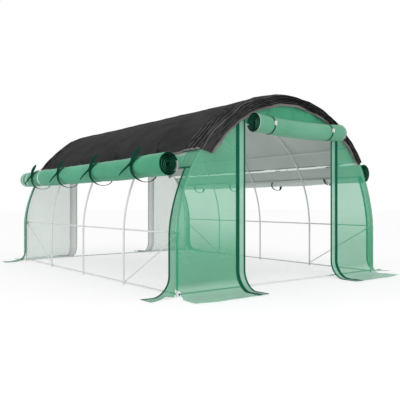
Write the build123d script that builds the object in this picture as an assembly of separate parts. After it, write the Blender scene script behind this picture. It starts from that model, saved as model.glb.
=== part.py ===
import os
from math import cos, degrees, radians, sin, sqrt

from build123d import *

# Steel frame: bent hoops, straight rails, all white tube. Sizes in millimetres.
frame_width = 3000  # across the outside of the legs
frame_height = 2030  # ground to the crown of the hoops
bay_length = 1000  # hoop to hoop
hoop_names = ["front", "second", "middle", "fourth", "back"]
tube_flats = 8  # flats that stand in for a round tube
hoop_tube = 22  # across the flats
rail_tube = 16  # across the corners
brace_tube = 12  # across the corners
base_rail_height = 22
mid_rail_height = 588
brace_foot_height = 44
brace_head_height = 560
purlin_angle = 42.6  # degrees above the horizontal at the arch's centre
plug_head = 3  # black plugs in the ends of the base rails
foot_wall = 3
foot_floor = 4
foot_height = 12

# Cover of reinforced film, with doors and side walls that roll up.
seat_gap = 0.3  # between pieces that rest on each other
film = 2
door_half_width = 672
zip_width = 125
corner_return = 105  # how far the end walls come round onto the sides
flare_radius = 200  # bend from the wall to the ground
end_skirt = 402
side_skirt = 370
side_roll_radius = 117
side_roll_pitch = 26  # from one turn of film to the next
side_roll_half_turns = 3
side_roll_angle = 26.7  # degrees above the horizontal at the arch's centre
side_roll_inset = 50  # how much each half stays short of the end hoops
side_roll_shifts = {"left": 150, "right": 20}
door_roll_radius = 97
door_roll_pitch = 20
door_roll_half_turns = 3
door_roll_drop = 348  # from the crown of the hoops down to the roll's axis
door_roll_overhang = 18  # past the doorway at each side
door_roll_shift = 55

# Ties that hold the rolls.
tie = 2.5
tie_flats = 12  # flats that stand in for a round loop
side_tie_width = 45
side_tie_pitch = 950
side_tie_count = 4
side_tie_shift = 45
tie_slack = 35  # how far each loop hangs below its roll
door_tie_width = 20
door_tie_half_pitch = 455
door_tie_shift = 35
buckle_width = 30
buckle_height = 28
buckle_depth = 5

# Shade net over the roof.
net = 2
net_angle = 34.4
net_lip = 115  # how far it folds down over the end walls

# Places that follow from the sizes above.
arch_radius = frame_width / 2
arch_height = frame_height - arch_radius
hoop_radius = arch_radius - hoop_tube / 2
tube_inside = arch_radius - hoop_tube
rail_radius = tube_inside - seat_gap - rail_tube / 2
half_length = bay_length * (len(hoop_names) - 1) / 2
frame_end = half_length + hoop_tube / 2
cover_inside = arch_radius + seat_gap
cover_outside = cover_inside + film
end_wall = frame_end + seat_gap
end_face = end_wall + film
base_rail_end = frame_end - plug_head - seat_gap
zip_edge = door_half_width + zip_width
net_inside = cover_outside + seat_gap
net_outside = net_inside + net
net_end = end_face + seat_gap + net
roof_edge = 180 - side_roll_angle
side_roll_reach = cover_outside + seat_gap + side_roll_radius
side_tie_inside = side_roll_radius + seat_gap
door_tie_inside = door_roll_radius + seat_gap
door_roll_reach = film + seat_gap + tie + door_tie_inside  # out from the end wall's inner face
door_roll_height = frame_height - door_roll_drop

arch_center = (0, arch_height)


def on_arch(radius, angle):
    return (radius * cos(radians(angle)), arch_height + radius * sin(radians(angle)))


def arch_band(inside, outside, start, end):
    """Sector of a ring about the arch's centre, angles in degrees from the right."""
    return make_face(
        [
            CenterArc(arch_center, outside, start, end - start),
            Line(on_arch(outside, end), on_arch(inside, end)),
            CenterArc(arch_center, inside, start, end - start),
            Line(on_arch(inside, start), on_arch(outside, start)),
        ]
    )


def along_y(face, start, end):
    """Extrude a face drawn in X and Z from one place along Y to another."""
    return extrude(Plane.XZ.offset(-end) * face, end - start)


def end_plane(x):
    """Plane across the front end wall: local x points out of the wall, local y up."""
    return Plane(origin=(x, -end_wall, 0), x_dir=(0, -1, 0), z_dir=(-1, 0, 0))


def across_end(face, start, end):
    return extrude(end_plane(end) * face, end - start)


def side_plane(y):
    """Plane across the left wall: local x points out of the wall, local y up."""
    return Plane(origin=(-cover_inside, y, 0), x_dir=(-1, 0, 0), z_dir=(0, 1, 0))


def rod(start, end, tube):
    """Straight tube between two points."""
    axis = Vector(*end) - Vector(*start)
    return extrude(Plane(origin=start, z_dir=axis) * RegularPolygon(tube / 2, tube_flats), axis.length)


def skirt_face(top, reach, thickness):
    """Wall that drops from top, bends outwards and lies on the ground as far as reach."""
    bend = flare_radius - thickness
    center = (flare_radius, flare_radius)
    return make_face(
        [
            Line((0, top), (0, flare_radius)),
            CenterArc(center, flare_radius, 180, 90),
            Line((flare_radius, 0), (reach, 0)),
            Line((reach, 0), (reach, thickness)),
            Line((reach, thickness), (flare_radius, thickness)),
            CenterArc(center, bend, 180, 90),
            Line((thickness, flare_radius), (thickness, top)),
            Line((thickness, top), (0, top)),
        ]
    )


def roll_face(radius, pitch, half_turns, touch, turn):
    """Film wound inwards as half circles about two centres, from the angle where it leaves the wall."""
    step = pitch / 2
    edges = []
    for depth in (0, film):
        for half in range(half_turns):
            back = step * (half % 2)
            center = (-back * cos(radians(touch)), -back * sin(radians(touch)))
            start = touch + 180 * (half % 2)
            edges.append(CenterArc(center, radius - half * step - depth, start, turn * 180))
    outer, inner = edges[:half_turns], edges[half_turns:]
    ends = [Line(outer[0] @ 0, inner[0] @ 0), Line(outer[-1] @ 1, inner[-1] @ 1)]
    return make_face(edges + ends)


def hoop(y):
    """Bent tube: a leg, half a circle and a leg."""
    path = Wire(
        [
            Line((-hoop_radius, y, foot_floor), (-hoop_radius, y, arch_height)),
            ThreePointArc(
                (-hoop_radius, y, arch_height), (0, y, arch_height + hoop_radius), (hoop_radius, y, arch_height)
            ),
            Line((hoop_radius, y, arch_height), (hoop_radius, y, foot_floor)),
        ]
    )
    return sweep(Pos(-hoop_radius, y, foot_floor) * tube_section(hoop_tube), path=path)


def tube_section(across):
    return RegularPolygon(across / 2, tube_flats, major_radius=False, rotation=180 / tube_flats)


def foot_cap(y):
    """Cup that the leg stands in."""
    outside = hoop_tube + 2 * (seat_gap + foot_wall)
    cup = extrude(tube_section(outside), foot_height)
    cup -= Pos(0, 0, foot_floor) * extrude(tube_section(hoop_tube + 2 * seat_gap), foot_height)
    return Pos(-hoop_radius, y, 0) * cup


def lengthwise_rail(x, z, end):
    return rod((x, -end, z), (x, end, z), rail_tube)


def rail_plug():
    """Plug head at the front end of the left base rail."""
    head = (-rail_radius, -frame_end, base_rail_height)
    return rod(head, (-rail_radius, plug_head - frame_end, base_rail_height), rail_tube)


def brace(end):
    """Diagonal in the end bay, from the foot of one hoop to the shoulder of the end hoop."""
    rise = brace_head_height - arch_height
    wall = sqrt(tube_inside**2 - rise**2) if rise > 0 else tube_inside
    x = -(wall - seat_gap - brace_tube / 2)
    foot = (x, end * (half_length - bay_length), brace_foot_height)
    head = (x, end * half_length, brace_head_height)
    return rod(foot, head, brace_tube)


def arch_region():
    """Space inside the cover, from the ground to the crown, past both ends."""
    reach = end_wall + end_skirt
    inside = Pos(0, arch_height) * Circle(arch_radius)
    inside += Pos(0, arch_height / 2) * Rectangle(frame_width, arch_height)
    return along_y(inside, -reach, reach)


def end_panel():
    """Left part of the front wall, from the door's zip to the arch, with its skirt."""
    sheet = across_end(skirt_face(frame_height, end_skirt, film), -arch_radius, -zip_edge)
    return sheet & arch_region()


def door_zip():
    """Left edge of the doorway, from the arch down to the ground."""
    sheet = across_end(skirt_face(frame_height, end_skirt, film), -zip_edge, -door_half_width)
    return sheet & arch_region()


def gable():
    """Front wall above the doorway."""
    sheet = Pos(0, door_roll_height + door_roll_drop / 2) * Rectangle(2 * door_half_width, door_roll_drop)
    return along_y(sheet & Pos(0, arch_height) * Circle(arch_radius), -end_face, -end_wall)


def corner_sheet(start, end):
    """Strip of the left wall that stays up: from the roof's edge down the leg and out onto the ground."""
    sheet = along_y(arch_band(cover_inside, cover_outside, roof_edge, 180), start, end)
    return sheet + extrude(side_plane(start) * skirt_face(arch_height, side_skirt, film), end - start)


def side_roll(shift):
    face = roll_face(side_roll_radius, side_roll_pitch, side_roll_half_turns, -side_roll_angle, -1)
    face = Pos(*on_arch(side_roll_reach, roof_edge)) * face
    half = half_length - side_roll_inset
    return along_y(face, shift - half, shift + half)


def door_roll():
    face = roll_face(door_roll_radius, door_roll_pitch, door_roll_half_turns, 180, 1)
    half = door_half_width + door_roll_overhang
    face = Pos(door_roll_reach, door_roll_height) * face
    return across_end(face, door_roll_shift - half, door_roll_shift + half)


def loop_ring(inside, slack):
    """Band round a circle, with flats outside the circle, that hangs lower by the slack."""
    corner = inside / cos(radians(180 / tie_flats))
    turns = [radians(360 * (number + 0.5) / tie_flats) for number in range(tie_flats)]
    points = [(corner * cos(turn), corner * sin(turn) - slack * max(-sin(turn), 0)) for turn in turns]
    hole = make_face(Polyline(*points, close=True))
    return offset(hole, tie, kind=Kind.INTERSECTION) - hole


def side_ties():
    """Bands that hang round the left roll, open where the film leaves the roof."""
    ring = Pos(*on_arch(side_roll_reach, roof_edge)) * loop_ring(side_tie_inside, tie_slack)
    clear = degrees(seat_gap / cover_inside)
    ring -= arch_band(cover_inside - side_roll_radius, cover_outside + seat_gap, 90, roof_edge + clear)
    first = side_tie_shift - side_tie_pitch * (side_tie_count - 1) / 2
    places = [first + side_tie_pitch * number for number in range(side_tie_count)]
    return [along_y(ring, y - side_tie_width / 2, y + side_tie_width / 2) for y in places]


def door_straps(face, width):
    """Copies of a face drawn about the door roll's axis, one at each strap."""
    face = Pos(door_roll_reach, door_roll_height) * face
    places = [door_tie_shift - door_tie_half_pitch, door_tie_shift + door_tie_half_pitch]
    return [across_end(face, x - width / 2, x + width / 2) for x in places]


def door_buckle_face():
    """Plate on the front flat of a strap."""
    return Pos(door_tie_inside + tie + buckle_depth / 2, 0) * Rectangle(buckle_depth, buckle_height)


def shade_net():
    """Net over the roof, folded down over both end walls: a channel turned about the arch's axis."""
    lip = net_outside - net_lip
    side = Vector(cos(radians(net_angle)), 0, sin(radians(net_angle)))
    plane = Plane(origin=(0, 0, arch_height), x_dir=(0, 1, 0), z_dir=Vector(0, 1, 0).cross(side))
    inner_end = net_end - net
    channel = Polyline(
        (-net_end, lip),
        (-net_end, net_outside),
        (net_end, net_outside),
        (net_end, lip),
        (inner_end, lip),
        (inner_end, net_inside),
        (-inner_end, net_inside),
        (-inner_end, lip),
        close=True,
    )
    axis = Axis((0, 0, arch_height), (0, -1, 0))
    return revolve(plane * make_face(channel), axis=axis, revolution_arc=180 - 2 * net_angle)


def to_right(shape):
    return mirror(shape, about=Plane.YZ)


def to_back(shape):
    return mirror(shape, about=Plane.XZ)


def build():
    nodes = {}
    hoop_places = [bay_length * number - half_length for number in range(len(hoop_names))]
    for name, y in zip(hoop_names, hoop_places):
        nodes[f"hoop_{name}"] = [hoop(y)]
    left_feet = [foot_cap(y) for y in hoop_places]
    nodes["foot_caps"] = left_feet + [to_right(foot) for foot in left_feet]

    base = lengthwise_rail(-rail_radius, base_rail_height, base_rail_end)
    rise = mid_rail_height - arch_height
    mid = lengthwise_rail(-sqrt(rail_radius**2 - rise**2), mid_rail_height, frame_end)
    purlin = lengthwise_rail(*on_arch(rail_radius, 180 - purlin_angle), frame_end)
    nodes["base_rail_left"], nodes["base_rail_right"] = [base], [to_right(base)]
    plugs = [rail_plug(), to_back(rail_plug())]
    nodes["rail_plugs"] = plugs + [to_right(piece) for piece in plugs]
    nodes["mid_rail_left"], nodes["mid_rail_right"] = [mid], [to_right(mid)]
    nodes["purlin_left"], nodes["purlin_right"] = [purlin], [to_right(purlin)]
    nodes["ridge_purlin"] = [lengthwise_rail(*on_arch(rail_radius, 90), frame_end)]
    sill_half = rail_radius - rail_tube / 2 - seat_gap
    sill_y = -(half_length - hoop_tube / 2 - seat_gap - rail_tube / 2)
    sill = rod((-sill_half, sill_y, base_rail_height), (sill_half, sill_y, base_rail_height), rail_tube)
    nodes["base_rail_front"], nodes["base_rail_back"] = [sill], [to_back(sill)]
    braces = [brace(-1), brace(1)]
    nodes["braces_left"], nodes["braces_right"] = braces, [to_right(piece) for piece in braces]

    roof = arch_band(cover_inside, cover_outside, side_roll_angle, roof_edge)
    nodes["roof_cover"] = [along_y(roof, -end_face, end_face)]
    front, panel, zipper = gable(), end_panel(), door_zip()
    nodes["front_gable"], nodes["back_gable"] = [front], [to_back(front)]
    corner = corner_sheet(-end_face, -end_face + corner_return)
    for name, piece in (("end_panel", panel), ("door_zip", zipper), ("corner_strip", corner)):
        nodes[f"{name}_front_left"] = [piece]
        nodes[f"{name}_front_right"] = [to_right(piece)]
        nodes[f"{name}_back_left"] = [to_back(piece)]
        nodes[f"{name}_back_right"] = [to_back(to_right(piece))]

    nodes["side_roll_left"] = [side_roll(side_roll_shifts["left"])]
    nodes["side_roll_right"] = [to_right(side_roll(side_roll_shifts["right"]))]
    ties = side_ties()
    nodes["side_ties_left"], nodes["side_ties_right"] = ties, [to_right(piece) for piece in ties]
    roll = door_roll()
    straps = door_straps(loop_ring(door_tie_inside, 0), door_tie_width)
    buckles = door_straps(door_buckle_face(), buckle_width)
    nodes["door_roll_front"], nodes["door_roll_back"] = [roll], [to_back(roll)]
    nodes["door_ties_front"], nodes["door_ties_back"] = straps, [to_back(piece) for piece in straps]
    nodes["door_buckles"] = buckles + [to_back(piece) for piece in buckles]

    nodes["shade_net"] = [shade_net()]
    return nodes


os.makedirs("parts", exist_ok=True)
for node, pieces in build().items():
    solids = [solid for piece in pieces for solid in piece.solids()]
    export_step(solids[0] if len(solids) == 1 else Compound(children=solids), f"parts/{node}.step")
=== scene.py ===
from math import pi, radians

import bmesh
import bpy
import numpy as np
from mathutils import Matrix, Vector


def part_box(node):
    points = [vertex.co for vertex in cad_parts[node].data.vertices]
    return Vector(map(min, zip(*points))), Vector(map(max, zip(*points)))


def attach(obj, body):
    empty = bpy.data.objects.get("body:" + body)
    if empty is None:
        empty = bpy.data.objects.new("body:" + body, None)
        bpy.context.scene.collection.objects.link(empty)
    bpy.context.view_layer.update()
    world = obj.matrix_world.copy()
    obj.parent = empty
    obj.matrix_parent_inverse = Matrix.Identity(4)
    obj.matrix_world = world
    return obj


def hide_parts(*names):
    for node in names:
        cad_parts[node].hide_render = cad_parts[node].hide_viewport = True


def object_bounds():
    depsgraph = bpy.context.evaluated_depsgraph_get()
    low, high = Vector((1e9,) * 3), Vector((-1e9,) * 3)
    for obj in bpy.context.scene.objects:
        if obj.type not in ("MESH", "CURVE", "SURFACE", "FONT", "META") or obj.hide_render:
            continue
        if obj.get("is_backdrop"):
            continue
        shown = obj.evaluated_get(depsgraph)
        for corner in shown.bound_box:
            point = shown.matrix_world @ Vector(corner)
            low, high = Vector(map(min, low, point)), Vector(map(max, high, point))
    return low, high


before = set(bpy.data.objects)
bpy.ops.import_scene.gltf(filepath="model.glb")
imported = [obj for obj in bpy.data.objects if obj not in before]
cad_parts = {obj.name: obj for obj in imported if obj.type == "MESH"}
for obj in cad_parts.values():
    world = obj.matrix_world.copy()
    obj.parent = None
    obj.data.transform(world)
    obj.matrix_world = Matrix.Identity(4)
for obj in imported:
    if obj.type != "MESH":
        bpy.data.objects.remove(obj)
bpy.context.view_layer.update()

# Places that come from the frame, in metres
hoopNames = ["front", "second", "middle", "fourth", "back"]
hoopLow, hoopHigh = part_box("hoop_front")
archRadius = hoopHigh.x  # outside of the hoops
archHeight = hoopHigh.z - archRadius  # where the legs turn into the arch
hoopRadius = (hoopHigh.y - hoopLow.y) / 2
hoopPlaces = [sum(corner.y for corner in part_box(f"hoop_{name}")) / 2 for name in hoopNames]
halfLength = hoopPlaces[-1]
bay = hoopPlaces[1] - hoopPlaces[0]
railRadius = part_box("ridge_purlin")[1].x
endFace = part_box("front_gable")[0].y  # outer face of the front wall
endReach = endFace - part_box("end_panel_front_left")[0].y
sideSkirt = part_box("corner_strip_front_left")[0].x
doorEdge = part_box("door_zip_front_right")[0].x
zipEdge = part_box("door_zip_front_right")[1].x
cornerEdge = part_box("corner_strip_front_left")[1].y
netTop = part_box("shade_net")[1].z
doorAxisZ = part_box("front_gable")[0].z
coverRadius = archRadius + 0.0014  # outer face of the film
roofEdge = radians(26.7)  # where the roof film ends and the rolled wall begins
bothSides = [("left", 1), ("right", -1)]
bothEnds = [("front", 1), ("back", -1)]
turned = {(s, e): (s, e, 1) for _, s in bothSides for _, e in bothEnds}
alongX, alongY = np.array([1.0, 0, 0]), np.array([0, 1.0, 0])
print("frame read: arch", round(archRadius, 4), "on legs of", round(archHeight, 4))


# Array helpers
def unit(vectors):
    return vectors / np.linalg.norm(vectors, axis=-1, keepdims=True)


def smooth(share):  # 0 to 1 with a soft start and end
    share = np.clip(share, 0, 1)
    return share * share * (3 - 2 * share)


def ripple(u, v, wave, seed):
    # mean of ten sine waves, near one wavelength, with seeded directions and phases
    rng = np.random.default_rng(seed)
    turn = rng.uniform(0, 2 * pi, 10)
    phase = rng.uniform(0, 2 * pi, 10)
    pace = 2 * pi / (wave * rng.uniform(0.6, 1.7, 10))
    u, v = np.broadcast_arrays(np.asarray(u, float), np.asarray(v, float))
    return np.sin(u[..., None] * pace * np.cos(turn) + v[..., None] * pace * np.sin(turn) + phase).mean(-1)


def onArch(radius, angle):  # x and z on a circle about the arch's centre, angle in radians from the right
    return radius * np.cos(angle), archHeight + radius * np.sin(angle)


def squared(turn):  # a circle pressed towards a square, for rounded corners
    wide, tall = np.cos(turn), np.sin(turn)
    return np.sign(wide) * np.abs(wide) ** 0.4, np.sign(tall) * np.abs(tall) ** 0.4


def pointGrid(x, y, z):
    return np.stack(np.broadcast_arrays(x, y, z), -1).astype(float)


def closedRows(path, rows):  # rows of rings with a point added at each end
    first, last = (np.repeat(path[k][None, None], rows.shape[1], 1) for k in (0, -1))
    return np.concatenate([first, rows, last])


def tubeGrid(path, radius, side, sides=18):
    # a circle carried along a path
    tangent = unit(np.gradient(path, axis=0))
    across = unit(side - (tangent * side).sum(-1, keepdims=True) * tangent)
    out = np.cross(tangent, across)
    turn = np.linspace(0, 2 * pi, sides + 1)
    radius = np.broadcast_to(radius, len(path))[:, None, None]
    ring = across[:, None] * np.cos(turn)[:, None] + out[:, None] * np.sin(turn)[:, None]
    return closedRows(path, path[:, None] + radius * ring)


def bandGrid(path, across, width, thick, corners=12):
    # a flat strip with rounded edges carried along a path
    tangent = unit(np.gradient(path, axis=0))
    across = unit(across - (tangent * across).sum(-1, keepdims=True) * tangent)
    out = np.cross(tangent, across)
    wide, deep = squared(np.linspace(0, 2 * pi, corners + 1))
    width = np.broadcast_to(width, len(path))[:, None, None] / 2
    rows = path[:, None] + width * wide[:, None] * across[:, None] + thick / 2 * deep[:, None] * out[:, None]
    return closedRows(path, rows)


def latheGrid(profile, place, axis, side, sides=18):
    # a profile of radius and height turned about an axis at a place
    turn = np.linspace(0, 2 * pi, sides + 1)[None, :, None]
    axis, side = np.array(axis, float), np.array(side, float)
    radius, height = np.array(profile, float).T[:, :, None, None]
    ring = np.cos(turn) * side + np.sin(turn) * np.cross(axis, side)
    return np.array(place, float) + radius * ring + height * axis


def addPiece(name, grids, looks, stands=(), away=None, thick=0.0, zones=0, lining=0):
    # joins grids of points into one mesh: a quad for each cell, equal corners merged to close rings and poles
    # zones give each cell its material, and away is a point that the outer faces look away from
    places, quads, flats, marks, count = [], [], [], [], 0
    for grid in grids:
        rows, columns = grid.shape[:2]
        mark = np.broadcast_to(zones, (rows - 1, columns - 1))
        if away is not None:
            facing = np.cross(np.diff(grid, axis=0)[:, :-1], np.diff(grid, axis=1)[:-1])
            if (facing * (grid[:-1, :-1] - away)).sum() < 0:
                grid, mark = grid[:, ::-1], mark[:, ::-1]
        index = np.arange(rows * columns).reshape(rows, columns) + count
        cells = np.stack([index[:-1, :-1], index[1:, :-1], index[1:, 1:], index[:-1, 1:]], -1)
        across = np.linalg.norm(np.diff(grid, axis=1), axis=-1).mean(0)
        down = np.linalg.norm(np.diff(grid, axis=0), axis=-1).mean(1)
        u, v = np.append(0, across.cumsum()), np.append(0, down.cumsum())
        quads.append(cells.reshape(-1, 4))
        flats.append(np.stack(np.broadcast_arrays(u[None], v[:, None]), -1).reshape(-1, 2))
        places.append(grid.reshape(-1, 3))
        marks.append(mark.ravel())
        count += rows * columns
    places, quads, flats, marks = (np.concatenate(part) for part in (places, quads, flats, marks))
    mesh = bpy.data.meshes.new(name)
    mesh.vertices.add(len(places))
    mesh.vertices.foreach_set("co", places.astype(np.float32).ravel())
    mesh.loops.add(quads.size)
    mesh.loops.foreach_set("vertex_index", quads.astype(np.int32).ravel())
    mesh.polygons.add(len(quads))
    mesh.polygons.foreach_set("loop_start", np.arange(0, quads.size, 4, dtype=np.int32))
    for look in looks:
        mesh.materials.append(look)
    mesh.polygons.foreach_set("material_index", marks.astype(np.int32))
    mesh.uv_layers.new(name="flat").uv.foreach_set("vector", flats[quads].astype(np.float32).ravel())
    mesh.update(calc_edges=True)
    shape = bmesh.new()
    shape.from_mesh(mesh)
    bmesh.ops.remove_doubles(shape, verts=shape.verts, dist=2e-6)
    bmesh.ops.dissolve_degenerate(shape, edges=shape.edges, dist=1e-7)
    if away is None:
        bmesh.ops.recalc_face_normals(shape, faces=shape.faces)
    shape.to_mesh(mesh)
    shape.free()
    mesh.polygons.foreach_set("use_smooth", np.ones(len(mesh.polygons), bool))
    mesh.set_sharp_from_angle(angle=radians(35))
    piece = bpy.data.objects.new(name, mesh)
    bpy.context.scene.collection.objects.link(piece)
    if thick:
        wall = piece.modifiers.new("thickness", "SOLIDIFY")
        wall.thickness = thick
        wall.offset = -1
        wall.material_offset = lining  # the inner face takes the next material
    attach(piece, "root")
    if stands:
        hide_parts(*stands)
    return piece


# Materials
def linear(code):  # sRGB hex to linear
    share = np.array([int(code[k:k + 2], 16) for k in (1, 3, 5)]) / 255
    return (*np.where(share <= 0.04045, share / 12.92, ((share + 0.055) / 1.055) ** 2.4), 1.0)


def addNode(tree, kind, links=(), values=(), **settings):
    node = tree.nodes.new(kind)
    for key, value in settings.items():
        setattr(node, key, value)
    for socket, value in values:
        node.inputs[socket].default_value = value
    for socket, source in links:
        tree.links.new(source, node.inputs[socket])
    return node


def startMaterial(name):
    made = bpy.data.materials.new(name)
    made.use_nodes = True
    made.node_tree.nodes.clear()
    return made, made.node_tree, addNode(made.node_tree, "ShaderNodeTexCoord")


def bandScale(millimetres):  # a wave texture's scale for one band in so many millimetres
    return 2 * pi / 20 / (millimetres / 1000)


def noiseScale(millimetres):  # a noise texture's scale for spots of so many millimetres
    return 1000 / millimetres


def finish(tree, colour, height, bump, skin):  # bumps and the surface that every material ends in
    bumps = addNode(tree, "ShaderNodeBump", [("Height", height)], bump)
    surface = addNode(tree, "ShaderNodeBsdfPrincipled",
                      [("Base Color", colour), ("Normal", bumps.outputs[0])], skin)
    addNode(tree, "ShaderNodeOutputMaterial", [("Surface", surface.outputs[0])])
    return surface


# Woven polyethylene film, extruded and coated: semi-gloss, see-through, with a faint square grid of threads
# the heights, colour and dulling below paint shade onto the film near the ground
filmLook = {"threads": 36, "mottle": 420, "crinkle": 90,  # millimetres; threads drawn coarse to show
            "groundShadeTop": 0.72, "groundShadeFull": 0.40, "groundShadeLow": 0.12, "groundShadeEnd": 0.06,  # heights in metres
            "groundShadeColour": "#239A6B", "groundShadeDull": 2.5}


def filmMaterial(name, pale, deep, alpha, rough, groundShade=0.0):
    # the last argument is how much denser and darker the film gets towards the ground: painted shade, fading
    # out again just above the ground
    made, tree, place = startMaterial(name)
    flat, solid = place.outputs["UV"], place.outputs["Object"]
    pace = [("Scale", bandScale(filmLook["threads"]))]
    rows = addNode(tree, "ShaderNodeTexWave", [("Vector", flat)], pace, bands_direction="X")
    columns = addNode(tree, "ShaderNodeTexWave", [("Vector", flat)], pace, bands_direction="Y")
    threads = addNode(tree, "ShaderNodeMath", [(0, rows.outputs["Fac"]), (1, columns.outputs["Fac"])],
                      operation="MAXIMUM")
    fine = addNode(tree, "ShaderNodeMath", [(0, threads.outputs[0])], [(1, 12.0)], operation="POWER")
    thread = addNode(tree, "ShaderNodeMath", [(0, fine.outputs[0])], [(1, 0.22)], operation="MULTIPLY")
    mottle = addNode(tree, "ShaderNodeTexNoise", [("Vector", solid)],
                     [("Scale", noiseScale(filmLook["mottle"])), ("Detail", 4.0), ("Roughness", 0.55)])
    crinkle = addNode(tree, "ShaderNodeTexNoise", [("Vector", solid)],
                      [("Scale", noiseScale(filmLook["crinkle"])), ("Detail", 3.0), ("Roughness", 0.5)])
    shade = addNode(tree, "ShaderNodeMapRange", [("Value", mottle.outputs["Fac"])],
                    [("From Min", 0.3), ("From Max", 0.7)])
    cloud = addNode(tree, "ShaderNodeMix", [(0, shade.outputs[0])], [(6, linear(deep)), (7, linear(pale))],
                    data_type="RGBA")
    colour = addNode(tree, "ShaderNodeMix", [(0, thread.outputs[0]), (6, cloud.outputs[2])],
                     [(7, linear(pale))], data_type="RGBA")
    height = addNode(tree, "ShaderNodeMath", [(0, thread.outputs[0]), (2, crinkle.outputs["Fac"])],
                     [(1, 0.3)], operation="MULTIPLY_ADD")
    skin = [("Roughness", rough), ("IOR", 1.5), ("Alpha", alpha), ("Specular IOR Level", 0.3)]
    bump = [("Strength", 0.25), ("Distance", 0.006)]
    surface = finish(tree, colour.outputs[2], height.outputs[0], bump, skin)
    # painted shade near the ground: denser and darker from about 0.72 m down to 0.40 m, fading out between
    # 0.12 m and 0.06 m
    if groundShade:
        axes = addNode(tree, "ShaderNodeSeparateXYZ", [(0, solid)])
        under = addNode(tree, "ShaderNodeMapRange", [("Value", axes.outputs["Z"])],
                        [("From Min", filmLook["groundShadeTop"]), ("From Max", filmLook["groundShadeFull"])])
        above = addNode(tree, "ShaderNodeMapRange", [("Value", axes.outputs["Z"])],
                        [("From Min", filmLook["groundShadeEnd"]), ("From Max", filmLook["groundShadeLow"])])
        amount = addNode(tree, "ShaderNodeMath", [(0, under.outputs[0]), (1, above.outputs[0])],
                         operation="MULTIPLY")
        dense = addNode(tree, "ShaderNodeMath", [(0, amount.outputs[0])], [(1, groundShade), (2, alpha)],
                        operation="MULTIPLY_ADD")
        dull = addNode(tree, "ShaderNodeMath", [(0, amount.outputs[0])], [(1, filmLook["groundShadeDull"] * groundShade)],
                       operation="MULTIPLY")
        darker = addNode(tree, "ShaderNodeMix", [(0, dull.outputs[0]), (6, colour.outputs[2])],
                         [(7, linear(filmLook["groundShadeColour"]))], data_type="RGBA")
        tree.links.new(dense.outputs[0], surface.inputs["Alpha"])
        tree.links.new(darker.outputs[2], surface.inputs["Base Color"])
    return made


# the last number of the two films below is their painted shade near the ground; the copy in light has less of
# it
clearFilm = filmMaterial("green_polyethylene_film", "#3BB888", "#25A878", 0.40, 0.42, 0.2)
sunnyFilm = filmMaterial("green_polyethylene_film_in_light", "#3BB888", "#25A878", 0.39, 0.42, 0.1)
cornerFilm = filmMaterial("green_polyethylene_film_corner", "#38B083", "#22A072", 0.51, 0.42)
gableFilm = filmMaterial("green_polyethylene_film_slack", "#3CB98A", "#1B9565", 0.68, 0.42)
backedFilm = filmMaterial("green_polyethylene_film_over_lining", "#3BC492", "#25B481", 0.72, 0.42)
rolledFilm = filmMaterial("rolled_polyethylene_film", "#48A983", "#399871", 1.0, 0.45)
doorFilm = filmMaterial("rolled_polyethylene_door_film", "#69A98B", "#58997A", 1.0, 0.45)
paleFilm = filmMaterial("pale_film_at_roll_edge", "#E9EEEB", "#DDE4E0", 1.0, 0.55)
# dark green for the roll's inner turns and inner faces: painted shade in the roll's hollow
hollowShadeFilm = filmMaterial("rolled_film_inner_turns_painted_shade", "#0F5B44", "#0A4433", 1.0, 0.5)
# white inner faces of the back walls and their zip strips: painted backlight, daylight shining through the
# film
wallLining = filmMaterial("pale_film_lining_painted_backlight", "#F4F6F5", "#ECF0EE", 0.40, 0.55)
wallFilm = filmMaterial("green_film_over_wall_lining", "#3BBD8C", "#25AD7C", 0.26, 0.42)
zipLining = filmMaterial("pale_zip_lining_painted_backlight", "#F4F6F5", "#ECF0EE", 0.87, 0.55)
roofLining = filmMaterial("shaded_film_lining", "#D3D9D6", "#C8CFCB", 0.98, 0.6)
# a clearer, paler copy of the roof film and its inner face for the strip under the net's edge: painted light
# where daylight shines through
thinFilm = filmMaterial("clear_green_film_under_net_edge_painted_light", "#3BC492", "#25B481", 0.24, 0.42)
thinLining = filmMaterial("pale_film_under_net_edge_painted_light", "#F2F5F3", "#E9EEEB", 0.24, 0.55)
zipFilm = filmMaterial("pale_polyethylene_zip_strip", "#8FCBB0", "#7FBFA3", 0.62, 0.4)


# Polyester tape, woven flat: matt with a fine rib across it
tapeFade = 110  # millimetres


def tapeMaterial(name, pale, deep, rib):
    made, tree, place = startMaterial(name)
    ribs = addNode(tree, "ShaderNodeTexWave", [("Vector", place.outputs["UV"])], [("Scale", bandScale(rib))],
                   bands_direction="Y")
    fade = addNode(tree, "ShaderNodeTexNoise", [("Vector", place.outputs["Object"])],
                   [("Scale", noiseScale(tapeFade)), ("Detail", 3.0)])
    amount = addNode(tree, "ShaderNodeMath", [(0, ribs.outputs["Fac"]), (1, fade.outputs["Fac"])],
                     operation="MULTIPLY")
    colour = addNode(tree, "ShaderNodeMix", [(0, amount.outputs[0])], [(6, linear(deep)), (7, linear(pale))],
                     data_type="RGBA")
    finish(tree, colour.outputs[2], ribs.outputs["Fac"], [("Strength", 0.3), ("Distance", 0.001)],
           [("Roughness", 0.8), ("Specular IOR Level", 0.1)])
    return made


darkTape = tapeMaterial("dark_green_polyester_tape", "#0C6A51", "#06503B", 6)
tieTape = tapeMaterial("dark_green_polyester_tie", "#0A5642", "#053D2D", 6)
hemTape = tapeMaterial("grey_polyester_hem_tape", "#8A8583", "#6C6866", 6)
seamTape = tapeMaterial("pale_grey_polyester_seam", "#B4BAB7", "#A0A6A3", 6)


# Knitted polyethylene monofilament: dull charcoal, with rows of loops and random patches of painted wrinkle
# shade
netLook = {"loops": 14, "crease": 260}  # millimetres; loops drawn coarse to show


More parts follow.
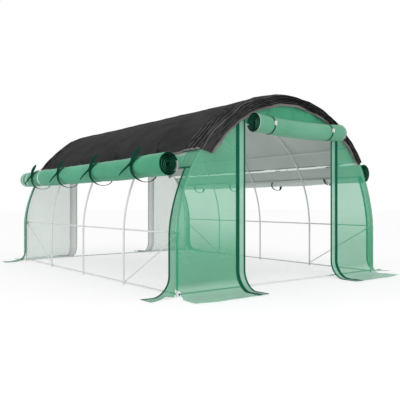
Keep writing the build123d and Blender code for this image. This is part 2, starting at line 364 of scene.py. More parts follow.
def netMaterial(name, deep, pale):
    made, tree, place = startMaterial(name)
    flat = place.outputs["UV"]
    rows = addNode(tree, "ShaderNodeTexWave", [("Vector", flat)],
                   [("Scale", bandScale(netLook["loops"])), ("Distortion", 1.2), ("Detail", 2.0)],
                   bands_direction="X")
    columns = addNode(tree, "ShaderNodeTexWave", [("Vector", flat)],
                      [("Scale", bandScale(netLook["loops"] * 0.6))], bands_direction="Y")
    knit = addNode(tree, "ShaderNodeMath", [(0, rows.outputs["Fac"]), (1, columns.outputs["Fac"])],
                   operation="MULTIPLY")
    # random paler and darker patches: painted shade of small wrinkles
    crease = addNode(tree, "ShaderNodeTexNoise", [("Vector", place.outputs["Object"])],
                     [("Scale", noiseScale(netLook["crease"])), ("Detail", 5.0), ("Roughness", 0.6)])
    wrinkleShade = addNode(tree, "ShaderNodeMapRange", [("Value", crease.outputs["Fac"])],
                   [("From Min", 0.35), ("From Max", 0.75)])
    amount = addNode(tree, "ShaderNodeMath", [(0, wrinkleShade.outputs[0]), (2, knit.outputs[0])], [(1, 0.55)],
                     operation="MULTIPLY_ADD")
    colour = addNode(tree, "ShaderNodeMix", [(0, amount.outputs[0])], [(6, linear(deep)), (7, linear(pale))],
                     data_type="RGBA")
    finish(tree, colour.outputs[2], knit.outputs[0], [("Strength", 0.35), ("Distance", 0.002)],
           [("Roughness", 0.9), ("Specular IOR Level", 0.12)])
    return made


netKnit = netMaterial("knitted_shade_net", "#1F1F20", "#3B3B3C")
# paler and darker copies of the net: painted highlight on crests, painted shade in creases
netCrestHighlight = netMaterial("knitted_shade_net_crest_painted_highlight", "#404041", "#666667")
netCreaseShade = netMaterial("knitted_shade_net_crease_painted_shade", "#0C0C0D", "#1B1B1C")


# Steel tube with a sprayed powder coat, and moulded plastic: satin, with a slight orange peel
coatClouds = 330  # millimetres


def coatMaterial(name, pale, deep, rough, peel):
    made, tree, place = startMaterial(name)
    solid = place.outputs["Object"]
    cloud = addNode(tree, "ShaderNodeTexNoise", [("Vector", solid)],
                    [("Scale", noiseScale(coatClouds)), ("Detail", 4.0)])
    grain = addNode(tree, "ShaderNodeTexNoise", [("Vector", solid)],
                    [("Scale", noiseScale(peel)), ("Detail", 2.0)])
    colour = addNode(tree, "ShaderNodeMix", [(0, cloud.outputs["Fac"])],
                     [(6, linear(deep)), (7, linear(pale))], data_type="RGBA")
    finish(tree, colour.outputs[2], grain.outputs["Fac"], [("Strength", 0.12), ("Distance", 0.0008)],
           [("Roughness", rough)])
    return made


whiteCoat = coatMaterial("white_powder_coated_steel", "#EBEDED", "#DDE0E0", 0.38, 4)
blackCap = coatMaterial("black_moulded_polypropylene", "#1C1D1F", "#111213", 0.55, 3)
whiteBuckle = coatMaterial("white_moulded_acetal", "#F4F4F1", "#E6E7E4", 0.35, 3)
print("materials made")

# Tubes of the frame
hoopTube = {"arcPoints": 121, "legPoints": 14, "sleeveLength": 0.07, "sleeve": 0.0014,
            "joints": (0, 62, 118, 180)}  # degrees round the arch


def hoopGrid(y):
    # leg, half circle, leg; the tube swells a little where one length is pushed into the next
    radius = archRadius - hoopRadius
    angle = np.linspace(pi, 0, hoopTube["arcPoints"])
    archX, archZ = onArch(radius, angle)
    leg = np.linspace(hoopLow.z, archHeight, hoopTube["legPoints"])[:-1]
    x = np.concatenate([0 * leg - radius, archX, 0 * leg + radius])
    z = np.concatenate([leg, archZ, leg[::-1]])
    along = np.concatenate([leg - archHeight, radius * (pi - angle), radius * pi + archHeight - leg[::-1]])
    spots = np.radians(np.array(hoopTube["joints"])) * radius
    near = np.abs(along[:, None] - spots).min(1) < hoopTube["sleeveLength"] / 2
    return tubeGrid(pointGrid(x, y, z), hoopRadius + hoopTube["sleeve"] * near, alongY)


for name, y in zip(hoopNames, hoopPlaces):
    addPiece(f"hoop_tube_{name}", [hoopGrid(y)], [whiteCoat], [f"hoop_{name}"])


def straightTube(start, end, radius, side):
    start, end = np.array(start, float), np.array(end, float)
    return tubeGrid(start + (end - start) * np.linspace(0, 1, 25)[:, None], radius, np.array(side, float))


def railEnds(node):  # ends of a straight rail's axis, from its node's box
    low, high = (np.array(corner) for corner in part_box(node))
    start, end = (low + high) / 2, (low + high) / 2
    long = int(np.argmax(high - low))
    start[long], end[long] = low[long], high[long]
    return start, end


lengthRails = ["base_rail_left", "base_rail_right", "mid_rail_left", "mid_rail_right",
               "purlin_left", "purlin_right", "ridge_purlin"]
for node in lengthRails + ["base_rail_front", "base_rail_back"]:
    rail = straightTube(*railEnds(node), railRadius, (0, 0, 1))
    addPiece(f"{node}_tube", [rail], [whiteCoat], [node])

braceOverrun = 0.016  # a brace's axis ends this far past its solid's box less its radius
for side, _ in bothSides:
    low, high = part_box(f"braces_{side}")
    middle, radius = (low.x + high.x) / 2, (high.x - low.x) / 2
    foot, head = low.z + radius - braceOverrun, high.z - radius + braceOverrun
    rods = [straightTube((middle, e * (halfLength - bay), foot), (middle, e * halfLength, head), radius,
                         (1, 0, 0)) for _, e in bothEnds]
    addPiece(f"braces_{side}_tube", rods, [whiteCoat], [f"braces_{side}"])

cup = {"outer": hoopRadius + 0.0033, "bore": hoopRadius + 0.0004, "tall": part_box("foot_caps")[1].z,
       "edge": 0.002, "bevel": 0.001, "floor": 0.0045}
cupProfile = [(0, 0), (cup["outer"] - cup["edge"], 0), (cup["outer"], cup["edge"]),
              (cup["outer"], cup["tall"] - cup["edge"]), (cup["outer"] - cup["bevel"], cup["tall"]),
              (cup["bore"], cup["tall"]), (cup["bore"], cup["floor"]), (0, cup["floor"])]
feet = [latheGrid(cupProfile, (s * (archRadius - hoopRadius), y, 0), (0, 0, 1), (1, 0, 0))
        for _, s in bothSides for y in hoopPlaces]
addPiece("foot_cups", feet, [whiteCoat], ["foot_caps"])

plug = {"thick": 0.003, "shoulder": 0.0018, "crown": 0.0028, "crownShare": 0.86, "gap": 0.0003}
plugProfile = [(0, 0), (railRadius, 0), (railRadius, plug["shoulder"]),
               (railRadius * plug["crownShare"], plug["crown"]), (0, plug["thick"])]
plugSpots = [railEnds(f"base_rail_{side}") for side, _ in bothSides]
plugs = [latheGrid(plugProfile, ends[k] + (0, way * plug["gap"], 0), (0, way, 0), (1, 0, 0))
         for ends in plugSpots for k, way in ((0, -1), (1, 1))]
addPiece("rail_end_plugs", plugs, [blackCap], ["rail_plugs"])

bolt = {"radius": 0.0055, "tall": 0.0035, "sunk": 0.002}
boltProfile = [(0, -bolt["sunk"]), (bolt["radius"], -bolt["sunk"]), (bolt["radius"], 0),
               (bolt["radius"] * 0.8, bolt["tall"] * 0.7), (0, bolt["tall"])]


def boltGrids(node):  # one head on the inner side of a rail at each hoop
    start, _ = railEnds(node)
    inward = unit(np.array([-start[0], 0, min(archHeight - start[2], 0)]))
    return [latheGrid(boltProfile, np.array([start[0], y, start[2]]) + inward * railRadius, inward,
                      (0, 1, 0), 10) for y in hoopPlaces]


bolts = [grid for node in lengthRails for grid in boltGrids(node)]
addPiece("crossing_bolts", bolts, [whiteCoat])
print("frame tubes made")

# Film sheets of the cover
film = {"thick": 0.0012, "sag": 0.005, "flare": 0.2, "lie": 0.0016, "standOff": 0.022, "standTop": 1.15,
        "billow": 0.004, "corner": 0.22, "cornerShort": 0.04, "cornerSpread": 0.036}
footFilm = {"flare": {"left": 0.035, "right": 0.1}, "notch": {"left": 0.062, "right": 0.01}}
skirtSlant = {"left": -0.055, "right": 0.055}  # how far the end skirts lie aslant
cornerHold = {"left": 1.0, "right": 0.35}  # share of that slant which the corner holds back
doorShift = 0.014  # the doorway stands a little off the middle
netEdge = radians(34.4)


def drop(top, reach, bend, steps=(60, 24, 30)):
    # a wall's path down from the top, round a bend and out along the ground: height and distance out
    fall, turn, lie = (np.linspace(0, 1, count)[:, None] for count in steps)
    angle = turn * pi / 2
    down, over = bend - bend * np.sin(angle), bend - bend * np.cos(angle)
    high = np.concatenate([top + (bend - top) * fall, down[1:], 0 * lie[1:] * bend])
    out = np.concatenate([0 * fall * bend, over[1:], (bend + (reach - bend) * lie)[1:]])
    return high, out


def standOff(high):  # how far the film stands away from the legs, more towards the ground
    return film["standOff"] * smooth((film["standTop"] - high) / 0.6)


def archTop(x):  # height of the arch's outside at a distance from the middle
    return archHeight + np.sqrt(np.maximum(archRadius**2 - x**2, 0))


def skirtWave(x, out, bend):  # low waves where a skirt lies on the ground
    return film["billow"] * (1 + ripple(x + 0 * out, out, 0.22, 12)) * smooth((out - bend) / 0.1)


def slackAt(y):  # how far the roof film sinks between two hoops
    return film["sag"] * np.sin(pi * y / bay) ** 2


lightBand = np.radians([32.4, 34.1])  # film that no net and no roll covers
roofAngles = np.linspace(roofEdge, pi - roofEdge, 121)
roofAngles = np.sort(np.concatenate([roofAngles, lightBand, pi - lightBand]))


def roofGrid():
    # part of a circle drawn along the tunnel, slack between the hoops
    y = np.linspace(endFace, -endFace, 201)[None]
    angle = roofAngles[:, None]
    x, z = onArch(coverRadius - slackAt(y) + 0.001 * ripple(angle * archRadius, y, 0.35, 2), angle)
    return pointGrid(x, y, z)


roofMiddles = (roofAngles[1:] + roofAngles[:-1])[:, None] / 2
roofHeights = np.minimum(roofMiddles, pi - roofMiddles)
bare = (roofHeights > lightBand[0]) & (roofHeights < lightBand[1])
cornerStart = 1.81  # from here to each end the left edge looks like the corners
atCorner = np.abs(np.linspace(endFace, -endFace, 201)[:-1] + 0.01) > cornerStart
atCorner = atCorner & (roofMiddles > pi - lightBand[1])
# the bare strip takes the clearer, paler copies, zone 2 with its inner face: painted light where daylight
# comes through
roofZones = np.where(atCorner, 4, np.where(bare, 2, 0))
roofLooks = [backedFilm, roofLining, thinFilm, thinLining, cornerFilm, cornerFilm]  # each with its lining
roofSheet = addPiece("roof_film", [roofGrid()], roofLooks, ["roof_cover"],
                     away=(0, 0, archHeight), thick=film["thick"], zones=roofZones, lining=1)
seam = {"width": 0.011, "thick": 0.002, "binding": 0.014}
seamY = np.linspace(-1.9, 1.9, 60)
seamX, seamZ = onArch(coverRadius - 0.0028 - slackAt(seamY), roofEdge)
upRoof = {s: np.array([s * np.sin(roofEdge), 0, np.cos(roofEdge)]) for _, s in bothSides}
seams = [bandGrid(pointGrid(-s * seamX, seamY, seamZ), upRoof[s], seam["width"], seam["thick"])
         for _, s in bothSides]
addPiece("roof_edge_seams", seams, [seamTape])
bindX, bindZ = onArch(coverRadius + 0.0022, roofEdge + 0.003)
bindings = [bandGrid(pointGrid(-s * bindX, e * np.linspace(-1.995, -1.84, 12), bindZ), upRoof[s],
                     seam["binding"], 0.003) for _, s in bothSides for _, e in bothEnds]
addPiece("roof_corner_bindings", bindings, [darkTape])


def endPanelGrid(edge, side):
    # a wall cut by the arch: its bend to the ground is tight at the leg, where the film is cut back, and wide
    # at the doorway, and its skirt lies aslant
    x = np.linspace(-archRadius + 0.0005, edge, 73)[None]
    wide = smooth((x + archRadius) / (archRadius + edge))
    near = 1 - smooth((x + archRadius) / film["corner"])
    top = archTop(x)
    bend = footFilm["flare"][side] + (film["flare"] - footFilm["flare"][side]) * wide
    high, out = drop(top, endReach - film["cornerShort"] * near, bend)
    standing = np.clip(high / 0.3, 0, 1)
    away = film["billow"] * ripple(x + 0 * high, high, 0.5, 11) * standing * smooth((top - high) / 0.2)
    notch = footFilm["notch"][side] * smooth((0.08 - high) / 0.035) * (1 - smooth((out - 0.02) / 0.13))
    spread = film["cornerSpread"] * smooth((out - 0.05) / 0.25) + standOff(high)
    held = cornerHold[side] * (edge - x) / (archRadius + edge)
    slant = skirtSlant[side] * smooth(out / endReach) * (1 - held)
    lift = film["lie"] + skirtWave(x, out, bend)
    return pointGrid(x + near * (notch - spread) + slant, endFace - out - away, np.maximum(high, lift))


def zipGrid(start, end, side, proud, columns=9):
    # strip beside the doorway, on the same path as the wall beside it
    x = np.linspace(start, end, columns)[None]
    high, out = drop(archTop(x) - 0.004, endReach + 0 * x, film["flare"] + 0 * x)
    flat = np.minimum(out / film["flare"], 1)
    z = np.maximum(high + proud * flat, film["lie"] + proud + skirtWave(x, out, film["flare"]))
    return pointGrid(x + skirtSlant[side] * smooth(out / endReach), endFace - out - proud * (1 - flat), z)


sideFilms = {"left": clearFilm, "right": sunnyFilm}
zipBand = {"outer": 0.046, "inner": 0.021, "thick": 0.003, "proud": 0.0026}
for end, e in bothEnds:
    front = end == "front"
    # the back walls take the white inner faces, painted backlight
    zipLooks = [zipFilm] if front else [wallFilm, zipLining]
    for side, s in bothSides:
        where = f"{end}_{side}"
        panelLooks = [sideFilms[side]] if front else [wallFilm, wallLining]
        outerEdge, innerEdge = -zipEdge + s * doorShift, -doorEdge + s * doorShift
        panelGrid, stripGrid = endPanelGrid(outerEdge, side), zipGrid(outerEdge, innerEdge, side, 0)
        bands = [(outerEdge + zipBand["outer"] / 2, zipBand["outer"]),
                 (innerEdge - zipBand["inner"] / 2, zipBand["inner"])]
        panel = addPiece(f"end_film_{where}", [panelGrid * turned[s, e]], panelLooks,
                         [f"end_panel_{where}"], away=(0, 0, 0.6), thick=film["thick"],
                         lining=len(panelLooks) - 1)
        strip = addPiece(f"zip_film_{where}", [stripGrid * turned[s, e]], zipLooks,
                         [f"door_zip_{where}"], away=(0, 0, 0.6), thick=film["thick"],
                         lining=len(zipLooks) - 1)
        paths = [zipGrid(x, x + 0.001, side, zipBand["proud"], 2)[:, 0] * turned[s, e] for x, _ in bands]
        tapes = [bandGrid(path, alongX, width, zipBand["thick"])
                 for path, (_, width) in zip(paths, bands)]
        binding = addPiece(f"zip_tapes_{where}", tapes, [darkTape])

gableFolds = ((0.014, 2, 0.6, 21), (0.01, 4, -0.8, 22))  # depth, crowding, slope and seed


def gableGrid():
    # the wall above the doorway: from the roll's height up to the arch, slack with a few folds
    x = np.linspace(-doorEdge + doorShift, doorEdge + doorShift, 97)[None]
    share = np.linspace(0, 1, 33)[:, None]
    z = doorAxisZ + (archTop(x) - 0.003 - doorAxisZ) * share
    folds = sum(deep * ripple(x * crowd, z + x * slope, 0.3, seed) for deep, crowd, slope, seed in gableFolds)
    away = folds * np.sin(pi * share)
    return pointGrid(x, endFace + 0.001 - away, z)


gableSheetGrid = gableGrid()
for end, e in bothEnds:
    # the back gable takes the white inner face, painted backlight
    looks = [gableFilm] if end == "front" else [wallFilm, wallLining]
    sheet = addPiece(f"gable_film_{end}", [gableSheetGrid * turned[1, e]], looks,
                     [f"{end}_gable"], away=(0, 0, 1.5), thick=film["thick"], lining=len(looks) - 1)

cornerTape = {"width": 0.024, "thick": 0.003, "proud": 0.0022}
cornerTrim = {"left": 0.062, "right": 0.09}  # the skirts at the sides lie this much shorter


def cornerGrid(start, end, side, proud, columns=13):
    # from the roof's edge down the arch and the leg, then out onto the ground, wider at the free edge
    y = np.linspace(start, end, columns)[None]
    free = smooth((y - endFace) / (cornerEdge - endFace))
    bend = footFilm["flare"][side] + (film["flare"] - footFilm["flare"][side]) * free
    archX, archZ = onArch(coverRadius + proud, np.linspace(pi - roofEdge, pi, 40)[:-1, None])
    reach = -coverRadius - sideSkirt - cornerTrim[side]
    high, out = drop(archHeight + 0 * y, reach + 0 * y, bend)
    wave = 0.003 * (1 + ripple(out, y + 0 * out, 0.2, 31)) * smooth((out - bend) / 0.1)
    raised = 0.024 * np.exp(-(((out - 0.09) / 0.06) ** 2)) * (1 - free)
    flat = np.minimum(out / bend, 1)
    wallX = -coverRadius - standOff(high) - out - proud * (1 - flat)
    wallZ = np.maximum(high + proud * flat, film["lie"] + proud + wave + raised)
    x = np.concatenate([archX - standOff(archZ) + 0 * y, wallX])
    z = np.concatenate([archZ + 0 * y, wallZ])
    spread = np.concatenate([0 * archX + 0 * y, 0.08 * smooth((out - 0.05) / 0.3) * (1 - free)])
    return pointGrid(x, y - spread, z)


for end, e in bothEnds:
    for side, s in bothSides:
        where = f"{end}_{side}"
        look = cornerFilm if side == "left" else sunnyFilm
        cornerSheetGrid = cornerGrid(endFace, cornerEdge, side, 0)
        tapeStart = cornerEdge - cornerTape["width"] / 2
        cornerPath = cornerGrid(tapeStart, cornerEdge, side, cornerTape["proud"], 2)[:, 0]
        strip = addPiece(f"corner_film_{where}", [cornerSheetGrid * turned[s, e]], [look],
                         [f"corner_strip_{where}"], away=(0, 0, 0.3), thick=film["thick"])
        edging = bandGrid(cornerPath * turned[s, e], alongY, cornerTape["width"], cornerTape["thick"])
        tape = addPiece(f"corner_tape_{where}", [edging], [darkTape])
print("cover sheets made")

# Rolled-up walls and doors
# tight is the share of a turn at full size, and edges are layers that end short of the far end
sideRoll = {"radius": 0.117, "pitch": 0.022, "turns": 5.1, "sag": 0.004, "pinch": 0.005, "tight": 0.95,
            "flare": 0.0, "rim": 0.0, "tips": (0.006, 0.035), "edges": (0.74, 0.26, 0.11)}
doorRoll = {"radius": 0.097, "pitch": 0.02, "turns": 4.7, "sag": 0.010, "pinch": 0.007, "tight": 0.95,
            "flare": 0.005, "rim": 0.03, "tips": (0.004, 0.005), "edges": (), "lower": 0.013}
rollReach = coverRadius + 0.002 + sideRoll["radius"]
sideRollX, sideRollZ = onArch(rollReach, pi - roofEdge)
tie = {"pitch": 0.95, "shift": 0.045, "count": 4, "face": 0.046, "under": 0.022, "thick": 0.003,
       "inside": 0.6, "twist": 0.088, "leaf": (0.004, -0.19, 0.155), "tail": (0, 0.218, -0.106),
       "slack": {"left": (0.038,) * 4, "right": (0.008,) + (0.05,) * 3}}
tiePlaces = tie["shift"] + tie["pitch"] * (np.arange(tie["count"]) - (tie["count"] - 1) / 2)


def rollDrop(y):
    # how far a side roll hangs below its straight line: more behind the first bay, a little between the ties
    slope = 0.008 + 0.015 * smooth((y + 1.8) / 1.0)
    return -slope - sideRoll["sag"] * np.sin(pi * (y - tiePlaces[0]) / tie["pitch"]) ** 2


def windingGrid(look, start, way, low, high, grips, seed, columns):
    # a spiral carried along its axis: one turn at full size, then smaller by the pitch each turn,
    # and a little smaller at each tie and where a layer ends
    turn = np.linspace(0, look["turns"], int(look["turns"] * 44))[:, None]
    startTip, endTip = np.array(look["tips"]) / (high - low)
    share = np.concatenate([[0, startTip], np.linspace(0.012, 0.98, columns), [1 - endTip, 1]])[None]
    begin = low + 0.006 * (1 + np.sin(5 * turn)) * smooth(turn - 0.9)
    finishes = high - look["rim"] * (1 - smooth((turn - 1.02) / 0.1))
    along = begin + (finishes - begin) * share
    grip = np.exp(-(((along[..., None] - grips) / 0.05) ** 2)).max(-1)
    loose = 0.0022 * ripple(turn, along, 0.5, seed) + 0.0016 * ripple(turn * 3, along * 0.5, 0.5, seed + 7)
    inner = np.maximum(turn - look["tight"], 0)
    size = look["radius"] - 0.002 - 0.003 * np.minimum(turn, 1) - look["pitch"] * inner
    flare = look["flare"] * np.exp(-np.minimum(along - low, high - along) / 0.05)
    size = size - look["pinch"] * grip * np.exp(-turn) + loose + flare
    for edge in look["edges"]:
        size = size - 0.003 * smooth((along - high + edge) / 0.02)
    angle = start + way * turn * 2 * pi
    return size * np.cos(angle), size * np.sin(angle), along, turn


rollMarks = {"outer": 1.02, "rim": 2.1, "edge": 0.016, "shaded": 0.45}  # turns, turns, metres, metres


def windingZones(look, along, turn, pale, low, high, tips):
    # 0 green outside, 1 inner turns in painted shade, 3 shaded at the front, 4 pale where film leaves the
    # roof or ends
    middle = (along[1:, 1:] + along[:-1, :-1]) / 2
    turn = turn[:-1] + 0 * middle
    outer = turn < rollMarks["outer"]
    zones = np.where(turn > rollMarks["outer"], 1, 0)
    for edge in look["edges"]:
        zones[(np.abs(middle - high + edge) < rollMarks["edge"]) & outer] = 4
    zones[:, -1] = np.where(turn[:, -1] < rollMarks["rim"], 4, 1)
    zones[:, 0] = np.where(turn[:, 0] < tips, 4, 0)
    inside = (turn < pale) | (turn > 1 - pale) & outer
    return np.where(inside, np.where(middle > low + rollMarks["shaded"], 4, 3), zones)


rollLooks = [rolledFilm, hollowShadeFilm, hollowShadeFilm, roofLining, paleFilm, hollowShadeFilm]  # an inner face takes the next
for side, s in bothSides:
    low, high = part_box(f"side_roll_{side}")
    seed = 41 if s > 0 else 42
    a, b, y, turn = windingGrid(sideRoll, -roofEdge, -1, low.y, high.y, tiePlaces, seed, 112)
    points = pointGrid(s * (sideRollX + a), y, sideRollZ + b + rollDrop(y))
    roll = addPiece(f"rolled_wall_{side}", [points], rollLooks, [f"side_roll_{side}"],
                    away=(s * sideRollX, 0, sideRollZ), thick=film["thick"],
                    zones=windingZones(sideRoll, y, turn, 0.14, low.y, high.y, 0), lining=1)

towards = unit(np.array([0.56, 0.83, 0.07]))  # the way the loose ends of the ties lie flat


def tieGrids(y, slack):
    # a loop loose under the roll, and two ends from the knot on its outer face, one broad and one thin
    z = sideRollZ + rollDrop(y)
    angle = np.radians(np.linspace(-24, -338, 100))
    size = sideRoll["radius"] + 0.004 + slack * np.maximum(-np.sin(angle), 0) ** 1.4
    bulge = tie["inside"] * slack * np.sin(pi * np.clip((radians(-24) - angle) / 1.15, 0, 1))
    outer = np.maximum(-np.cos(angle), 0)
    loop = pointGrid(sideRollX + size * np.cos(angle) + bulge, y + tie["twist"] * outer**1.6,
                     z + size * np.sin(angle))
    wide = tie["under"] + (tie["face"] - tie["under"]) * smooth(outer * 1.1)
    wide = wide + 0.012 * np.maximum(np.sin(angle), 0)
    knot = np.array([sideRollX - sideRoll["radius"] - 0.011, y + tie["twist"], z + 0.027])
    share = np.linspace(0, 1, 24)[:, None]
    leaf = knot + share * tie["leaf"] - np.sin(pi * share) * (0.014, 0.004, 0)
    tail = knot + share * tie["tail"] - np.sin(0.8 * pi * share) * (0.02, 0, 0.008)
    leafWide = 0.010 + 0.032 * np.sin(pi * share[:, 0] ** 1.2) ** 0.8
    tailWide = 0.024 - 0.013 * share[:, 0]
    turn = np.linspace(0, 2 * pi, 20)
    ring = knot + np.stack([0.008 * np.cos(turn), 0.004 * np.sin(2 * turn), 0.018 * np.sin(turn)], -1)
    return [bandGrid(loop, alongY, wide, tie["thick"] * 2),
            bandGrid(leaf, np.cross(leaf[-1] - leaf[0], towards), leafWide, tie["thick"]),
            bandGrid(tail, np.cross(tail[-1] - tail[0], towards), tailWide, tie["thick"]),
            tubeGrid(ring, 0.007, np.array([0.3, 1.0, 0.2]), 10)]


for side, s in bothSides:
    grids = [grid * (s, 1, 1) for y, slack in zip(tiePlaces, tie["slack"][side])
             for grid in tieGrids(y, slack)]
    addPiece(f"wall_ties_{side}", grids, [tieTape], [f"side_ties_{side}"])

doorLow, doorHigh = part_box("door_roll_front")
doorAxisY = endFace - 0.0032 - doorRoll["radius"]
rolledZ = doorAxisZ - doorRoll["lower"]
doorTie = {"places": np.array([-0.42, 0.49]), "width": 0.014, "thick": 0.003}


def doorDrop(x):  # the door's roll sags between its straps and lifts at its ends
    middle, half = doorTie["places"].mean(), np.ptp(doorTie["places"]) / 2
    return -doorRoll["sag"] * (1 - ((x - middle) / half) ** 2)


for end, e in bothEnds:
    seed = 43 if e > 0 else 44
    a, b, x, turn = windingGrid(doorRoll, pi, 1, doorLow.x, doorHigh.x, doorTie["places"], seed, 84)
    slack = 0.004 * ripple(x * 1.4, turn * 0.5, 0.4, 45) * np.exp(-turn)
    points = pointGrid(x, e * (doorAxisY - a + slack), rolledZ + b + doorDrop(x) + slack)
    roll = addPiece(f"rolled_door_{end}", [points], [doorFilm] + rollLooks[1:],
                    [f"door_roll_{end}"], away=(0, e * doorAxisY, rolledZ), thick=film["thick"],
                    zones=windingZones(doorRoll, x, turn, 0, doorLow.x, doorHigh.x, 1.1), lining=1)
    turn = np.linspace(0, 2 * pi, 61)
    size = doorRoll["radius"] - doorRoll["pinch"] + 0.004
    loops = [pointGrid(place, e * (doorAxisY + size * np.cos(turn)), rolledZ + size * np.sin(turn))
             for place in doorTie["places"]]
    straps = [bandGrid(loop, alongX, doorTie["width"], doorTie["thick"]) for loop in loops]
    addPiece(f"door_straps_{end}", straps, [tieTape], [f"door_ties_{end}"])

buckle = {"halfWide": 0.013, "halfTall": 0.018, "wire": 0.0045, "lift": 0.012}


def buckleGrids(place, e):
    # a rounded frame with a bar across it, on the front of a strap
    wide, tall = squared(np.linspace(0, 2 * pi, 41))
    front = e * (doorAxisY - doorRoll["radius"] - 0.003)
    middle = rolledZ + buckle["lift"]
    ring = pointGrid(place + buckle["halfWide"] * wide, front, middle + buckle["halfTall"] * tall)
    bar = pointGrid(place + np.linspace(-1, 1, 8) * buckle["halfWide"], front, middle)
    return [tubeGrid(path, buckle["wire"], alongY, 10) for path in (ring, bar)]


buckles = [grid for _, e in bothEnds for place in doorTie["places"] for grid in buckleGrids(place, e)]
addPiece("strap_buckles", buckles, [whiteBuckle], ["door_buckles"])
print("rolls and ties made")

# Shade net over the roof
net = {"lip": 0.112, "thick": 0.0015, "pleats": 7, "pleatDepth": 0.015, "drawnDepth": 0.012,
       "fanDepth": 0.009, "fanWave": 0.07, "fanReach": 0.14, "lipRows": 26, "roofRows": 121, "columns": 191}
# depth, bias, crowding, wavelength and seed of each set of creases
netCreases = ((0.011, 0.3, 1, 0.55, 52), (0.008, 0.2, 3, 0.5, 53), (0.004, 0.0, 1, 0.13, 55))
netRadius = netTop - archHeight


def netGrid():
    # one sheet from the front lip over the roof to the back lip: folds stand out from the roof only, and the
    # lips hang in pleats that follow the arch
    share = np.linspace(-1, 1, net["columns"])[:, None]
    lip = np.linspace(0, 1, net["lipRows"])
    roof = 0.5 - 0.5 * np.cos(np.linspace(0, pi, net["roofRows"]))  # rows close together near both ends
    v = np.concatenate([lip - 1, roof[1:-1], 1 + lip])[None]
    front, back = np.clip(-v, 0, 1), np.clip(v - 1, 0, 1)
    hung = front + back
    corner = smooth((-share - 0.93) / 0.07)
    y = (2 * np.clip(v, 0, 1) - 1) * (-endFace + 0.004)
    low = 0.012 * smooth((1.8 - np.abs(y)) / 0.12) - 0.035 * hung * corner
    low = low + 0.005 * ripple(y, share, 0.35, 57) * (1 - hung)
    angle = pi / 2 - share * (pi / 2 - netEdge + low)
    across = angle * netRadius
    creases = sum(np.maximum(deep * (bias + ripple(across * crowd, y, wave, seed)), 0)
                  for deep, bias, crowd, wave, seed in netCreases)
    inward = -endFace - np.abs(y)
    near = np.exp(-inward / net["fanReach"]) * smooth(0.2 - 1.6 * share)
    fan = np.sin(2 * pi * inward / net["fanWave"] + 5 * ripple(across, y, 0.5, 56))
    creases = creases + net["fanDepth"] * near * (1 + fan)
    climb = netRadius * (pi / 2 - netEdge) * (1 - np.abs(share))
    drawn = 0 * creases
    for place in tiePlaces:
        for slope, strong in ((0.55, 1.0), (-0.3, 0.7)):  # two creases drawn up from each tie
            off = y - place - 0.05 - slope * climb - 0.05 * np.sin(9 * climb)
            drawn = drawn + strong * np.exp(-np.abs(off / 0.028) ** 1.5 - climb / 0.35)
    creases = creases + net["drawnDepth"] * drawn
    length = net["lip"] - 0.018 * share - 0.008 * share**2 + 0.014 * ripple(across, 0 * across, 0.22, 51)
    length = length + 0.007 * ripple(across, 0 * across, 0.09, 58)
    radius = netRadius + creases * (1 - hung) - length * hung
    wander = 2.2 * ripple(across, 0 * across, 0.45, 54)
    depth = net["pleatDepth"] * (1 + 0.6 * smooth(-share - 0.4))
    wave = np.sin(2 * pi * net["pleats"] * hung + wander)
    fold = depth * wave * smooth(hung * 5)
    # cells in painted highlight on the lips' pleat crests and the corner fan's ridges, in painted shade in
    # the fan's troughs and along the creases from the ties
    crest = (hung > 0.02) & (wave > 0.35) | (hung == 0) & (near > 0.2) & (fan > 0.7)
    crease = (hung == 0) & (near > 0.15) & (fan < -0.7) | (hung == 0) & (drawn > 0.5)
    hang = np.where(hung > 0, 0.022 * smooth(hung * 6) + 0.004 * hung + fold, 0)
    y = y + (back > 0) * hang - (front > 0) * hang
    x, z = onArch(radius, angle)
    return pointGrid(x, y, z), np.where(crease, 2, crest)[:-1, :-1]


netSheetGrid, netLightZones = netGrid()
netSheet = addPiece("net_over_roof", [netSheetGrid], [netKnit, netCrestHighlight, netCreaseShade],
                    ["shade_net"], away=(0, 0, archHeight), thick=net["thick"], zones=netLightZones)
hem = {"width": 0.026, "thick": 0.004}


def fromAxis(path):  # straight out from the arch's axis at each point
    return unit(path * (1, 0, 1) - (0, 0, archHeight))


sideEdges = [netSheetGrid[k][net["lipRows"]:-net["lipRows"]] for k in (0, -1)]
endEdges = [netSheetGrid[:, k] for k in (0, -1)]
hems = [bandGrid(edge, fromAxis(edge), hem["width"], hem["thick"]) for edge in endEdges]
hems += [bandGrid(edge, np.cross(fromAxis(edge), alongY), hem["width"], hem["thick"]) for edge in sideEdges]
hemTapes = addPiece("net_hem_tapes", hems, [hemTape])
print("shade net made")

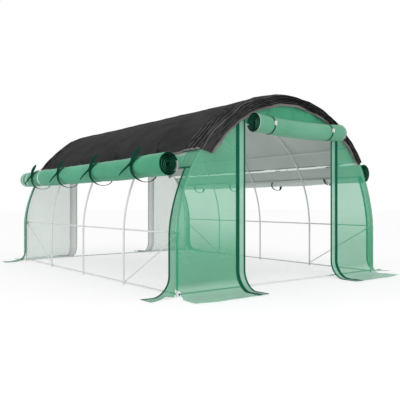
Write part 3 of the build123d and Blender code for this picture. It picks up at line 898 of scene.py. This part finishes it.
# Floor, light and camera
studio = {"floorHalf": 60, "world": 0.8, "lift": 0.56, "bounce": 0.9, "shown": 0.5}
lamps = {  # kind, settings, place and aim
    "key_lamp": ("AREA", {"shape": "DISK", "size": 4.5, "energy": 70}, (-5.5, -4.5, 7.0), (0, 0, 0.8)),
    "front_lamp": ("SUN", {"angle": radians(40), "energy": 0.34}, (-5.5, -9.0, 3.6), (0, 0, 0.8)),
    "fill_lamp": ("AREA", {"shape": "DISK", "size": 3.0, "energy": 50}, (-1.5, -7.0, 0.9), (0.3, 0, 1.5))}
half = studio["floorHalf"]
floorMesh = bpy.data.meshes.new("floor")
floorCorners = [(-half, -half, 0), (half, -half, 0), (half, half, 0), (-half, half, 0)]
floorMesh.from_pydata(floorCorners, [], [(0, 1, 2, 3)])
floor = bpy.data.objects.new("floor", floorMesh)
bpy.context.scene.collection.objects.link(floor)
floor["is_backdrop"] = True


def seenShare(tree):  # 1 for rays that show a surface: from the camera, a mirror or through a clear sheet
    rays = addNode(tree, "ShaderNodeLightPath")
    seen = addNode(tree, "ShaderNodeMath",
                   [(0, rays.outputs["Is Camera Ray"]), (1, rays.outputs["Is Glossy Ray"])],
                   operation="MAXIMUM")
    shown = addNode(tree, "ShaderNodeMath", [(0, seen.outputs[0]), (1, rays.outputs["Is Transmission Ray"])],
                    operation="MAXIMUM")
    return shown.outputs[0]


def floorMaterial():  # matt white paper: where it is seen it is lifted to white, and the shade on it stays
    made, tree, _ = startMaterial("white_floor_paper")
    paper = addNode(tree, "ShaderNodeBsdfDiffuse", values=[("Color", (studio["bounce"],) * 3 + (1,))])
    shade = addNode(tree, "ShaderNodeBsdfDiffuse", values=[("Color", (studio["shown"],) * 3 + (1,))])
    glow = addNode(tree, "ShaderNodeEmission", values=[("Strength", studio["lift"])])
    lifted = addNode(tree, "ShaderNodeAddShader", [(0, shade.outputs[0]), (1, glow.outputs[0])])
    mix = addNode(tree, "ShaderNodeMixShader",
                  [(0, seenShare(tree)), (1, paper.outputs[0]), (2, lifted.outputs[0])])
    addNode(tree, "ShaderNodeOutputMaterial", [("Surface", mix.outputs[0])])
    return made


floorMesh.materials.append(floorMaterial())
world = bpy.data.worlds.new("studio")
bpy.context.scene.world = world
world.use_nodes = True
sky = world.node_tree
sky.nodes.clear()
white = ("Color", (1, 1, 1, 1))
softLight = addNode(sky, "ShaderNodeBackground", values=[white, ("Strength", studio["world"])])
whiteBack = addNode(sky, "ShaderNodeBackground", values=[white, ("Strength", 1.0)])
skyMix = addNode(sky, "ShaderNodeMixShader",
                 [(0, seenShare(sky)), (1, softLight.outputs[0]), (2, whiteBack.outputs[0])])
addNode(sky, "ShaderNodeOutputWorld", [("Surface", skyMix.outputs[0])])

for name, (kind, settings, place, aim) in lamps.items():
    light = bpy.data.lights.new(name, kind)
    for key, value in settings.items():
        setattr(light, key, value)
    lamp = bpy.data.objects.new(name, light)
    bpy.context.scene.collection.objects.link(lamp)
    lamp.location = place
    lamp.rotation_euler = (Vector(aim) - Vector(place)).to_track_quat("-Z", "Y").to_euler()

view = {"place": (-4.283, -5.998, 0.858), "yaw": 0.653,
        "focalPixels": 529, "framePixels": 400, "horizonPixel": 204.25}
lens = bpy.data.cameras.new("view")
lens.sensor_width = 36
lens.lens = lens.sensor_width * view["focalPixels"] / view["framePixels"]
lens.shift_y = (view["horizonPixel"] - view["framePixels"] / 2) / view["framePixels"]
lens.clip_end = 500
camera = bpy.data.objects.new("view", lens)
bpy.context.scene.collection.objects.link(camera)
camera.location = view["place"]
camera.rotation_euler = (pi / 2, 0, -view["yaw"])
bpy.context.scene.camera = camera
bpy.context.scene.view_settings.view_transform = "Standard"
print("stage set")

low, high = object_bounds()
